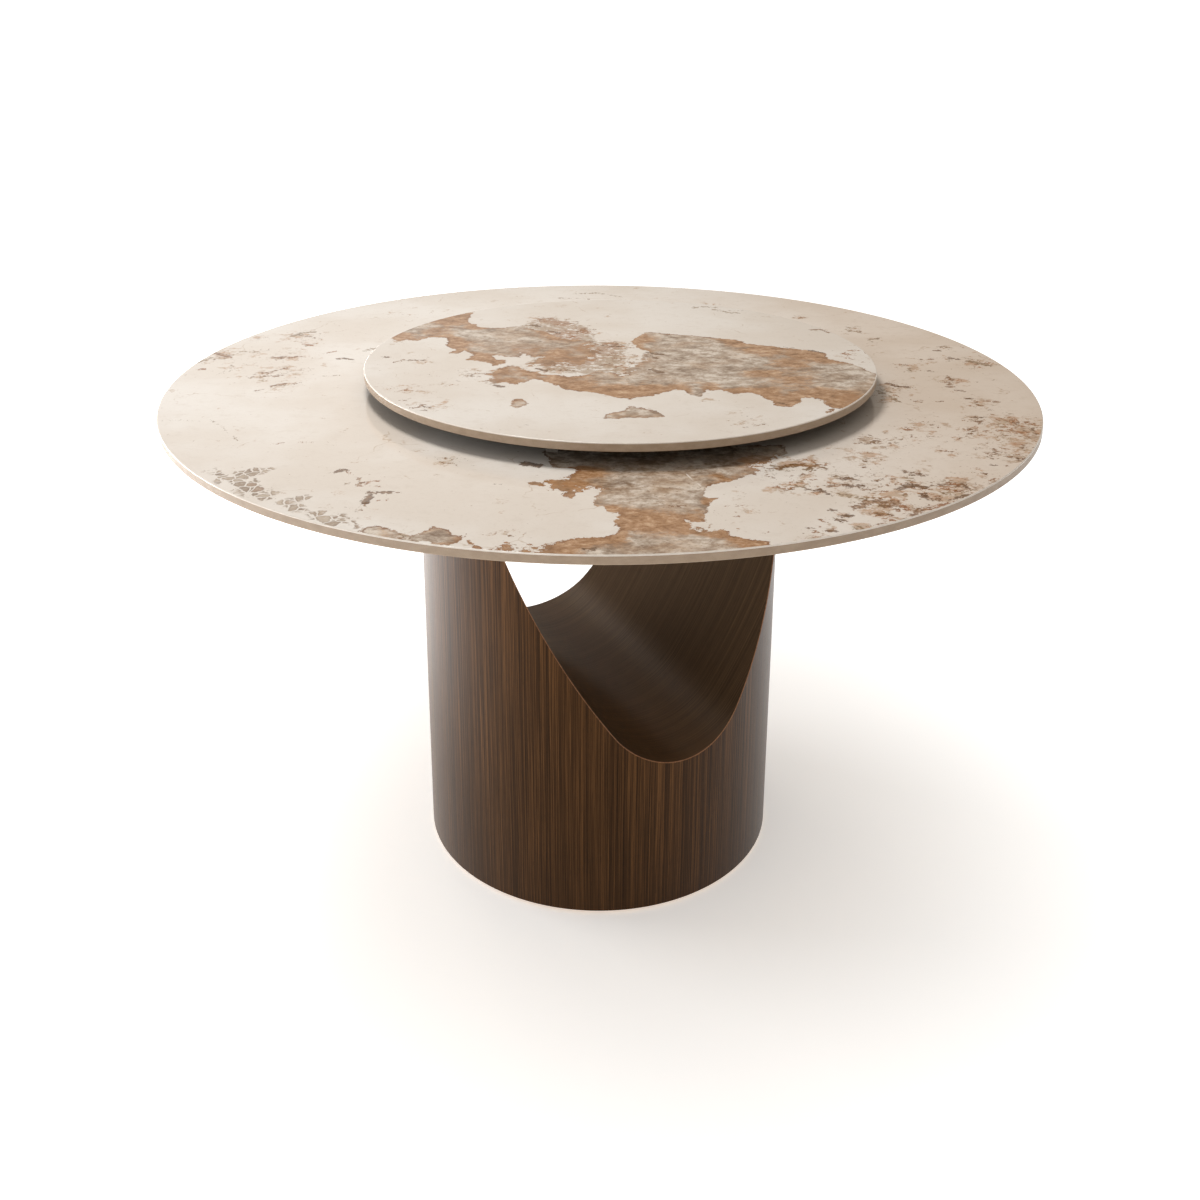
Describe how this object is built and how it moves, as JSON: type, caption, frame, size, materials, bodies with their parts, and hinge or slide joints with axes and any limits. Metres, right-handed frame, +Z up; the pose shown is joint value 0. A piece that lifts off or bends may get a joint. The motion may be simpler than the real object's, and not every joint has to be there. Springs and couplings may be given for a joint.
{
  "type": "round dining table",
  "caption": "Round pedestal dining table: polished stone top with a stone turntable, on a walnut-veneered drum base scooped by a U-shaped channel.",
  "frame": {"origin": "on the floor under the middle of the table top", "axes": "+Z up; the base's channel runs along Y, and the mouth nearer the picture's viewer faces -Y"},
  "size_m": [1.2998, 1.3, 0.795],
  "materials": {
    "polished_stone": "polished sintered stone, cream with grey and rust veining",
    "walnut_veneer": "dark walnut veneer, satin lacquer",
    "plywood": "birch plywood",
    "hardwood": "beech, planed",
    "black_steel": "black powder coat",
    "zinc_steel": "zinc plated",
    "brass": "turned",
    "aluminium": "turned and anodised",
    "ball_steel": "polished steel balls",
    "nylon": "moulded nylon, dark",
    "acetal": "natural acetal",
    "rubber": "soft rubber",
    "silicone": "grey silicone cushion",
    "grey_stop": "grey moulded stop"
  },
  "bodies": {
    "table": {"tabletop_slab": "polished_stone", "tabletop_backing": "plywood", "backing_inserts": "brass", "bridge_plate": "black_steel", "bridge_screws": "zinc_steel", "top_washers": "zinc_steel", "top_bolts": "zinc_steel", "drum_shell": "walnut_veneer", "saddle_panel": "walnut_veneer", "base_board": "plywood", "left_lobe_block": "hardwood", "right_lobe_block": "hardwood", "rib_front": "plywood", "rib_mid_front": "plywood", "rib_centre": "plywood", "rib_mid_rear": "plywood", "rib_rear": "plywood", "keel_rib": "plywood", "ballast_plates": "black_steel", "ballast_screws": "zinc_steel", "base_screws": "zinc_steel", "floor_glides": "nylon", "glide_screws": "zinc_steel", "turntable_feet": "rubber", "bearing_lower_plate": "aluminium", "pivot_stud": "zinc_steel", "pivot_washer": "zinc_steel", "pivot_nut": "zinc_steel"},
    "turntable": {"turntable_slab": "polished_stone", "turntable_pads": "silicone", "bearing_upper_plate": "aluminium", "pivot_bush": "brass", "tilt_bumpers": "grey_stop"},
    "ball_ring": {"ball_cage": "acetal", "bearing_balls": "ball_steel"}
  },
  "joints": [
    {"name": "turntable_spin", "type": "hinge", "parent": "table", "child": "turntable", "pos_m": [0.024, -0.0187, 0.783], "axis": [0, 0, 1], "continuous": true},
    {"name": "ball_ring_spin", "type": "hinge", "parent": "table", "child": "ball_ring", "pos_m": [0.024, -0.0187, 0.76975], "axis": [0, 0, 1], "continuous": true}
  ],
  "couplings": [
    {"joint": "ball_ring_spin", "follows": "turntable_spin", "ratio": 0.5}
  ]
}
